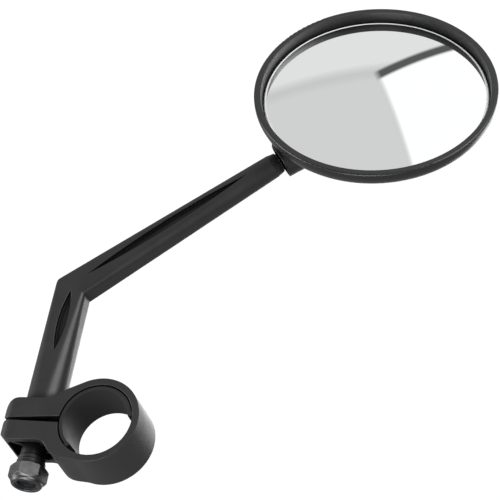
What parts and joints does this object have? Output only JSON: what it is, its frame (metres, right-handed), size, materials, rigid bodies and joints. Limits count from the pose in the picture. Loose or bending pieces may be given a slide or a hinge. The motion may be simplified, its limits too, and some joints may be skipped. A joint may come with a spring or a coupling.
{
  "type": "bicycle handlebar mirror",
  "caption": "Round convex rear-view mirror on a cranked arm that swivels on a split handlebar clamp, with a ball joint behind the head.",
  "frame": {"origin": "centre of the handlebar bore at the middle of the clamp's width", "axes": "+Y along the handlebar, away from the mirror's facing side; +Z along the clamp stud towards the arm; +X from the stud towards the handlebar"},
  "size_m": [0.1466, 0.0334, 0.1885],
  "materials": {
    "clamp_plastic": "matt",
    "shim_plastic": "matt",
    "stud_steel": "satin",
    "washer_nylon": "matt",
    "washer_black": "matt",
    "nut_zinc": "satin",
    "insert_nylon": "matt",
    "arm_plastic": "satin",
    "ball_steel": "polished",
    "seat_acetal": "matt",
    "shell_plastic": "semi gloss",
    "cap_plastic": "matt",
    "screw_steel": "satin",
    "mirror_glass": "polished",
    "pad_foam": "matt"
  },
  "bodies": {
    "clamp": {"clamp_ring": "clamp_plastic", "handlebar_shim": "shim_plastic"},
    "arm": {"arm": "arm_plastic", "clamp_stud": "stud_steel", "foot_washer": "washer_nylon", "ball_stud": "ball_steel"},
    "washer": {"thrust_washer": "washer_black"},
    "nut": {"lock_nut": "nut_zinc", "lock_nut_insert": "insert_nylon"},
    "outer_seat": {"outer_seat": "seat_acetal"},
    "inner_seat": {"inner_seat": "seat_acetal"},
    "head": {"mirror_shell": "shell_plastic", "mirror_glass": "mirror_glass", "glass_pad": "pad_foam", "socket_cap": "cap_plastic", "socket_screws": "screw_steel"}
  },
  "joints": [
    {"name": "arm_swivel", "type": "hinge", "parent": "clamp", "child": "arm", "pos_m": [-0.02255, 0, 0], "axis": [0, 0, 1], "continuous": true},
    {"name": "nut_travel", "type": "slide", "parent": "arm", "child": "washer", "axis": [0, 0, -1], "range_m": [0, 0.00254]},
    {"name": "nut_turn", "type": "hinge", "parent": "washer", "child": "nut", "pos_m": [-0.02255, 0, 0], "axis": [0, 0, 1], "range_deg": [0, 720]},
    {"name": "head_spin", "type": "hinge", "parent": "arm", "child": "outer_seat", "pos_m": [0.04743, 0, 0.10777], "axis": [0.788, 0, 0.6157], "continuous": true},
    {"name": "head_nod", "type": "hinge", "parent": "outer_seat", "child": "inner_seat", "pos_m": [0.04743, 0, 0.10777], "axis": [0.6146, -0.0574, -0.7867], "range_deg": [-9, 9]},
    {"name": "head_turn", "type": "hinge", "parent": "inner_seat", "child": "head", "pos_m": [0.04743, 0, 0.10777], "axis": [0.0353, 0.9984, -0.0452], "range_deg": [-9, 9]}
  ],
  "couplings": [
    {"joint": "nut_travel", "follows": "nut_turn", "m_per_rad": 0.00020213}
  ]
}
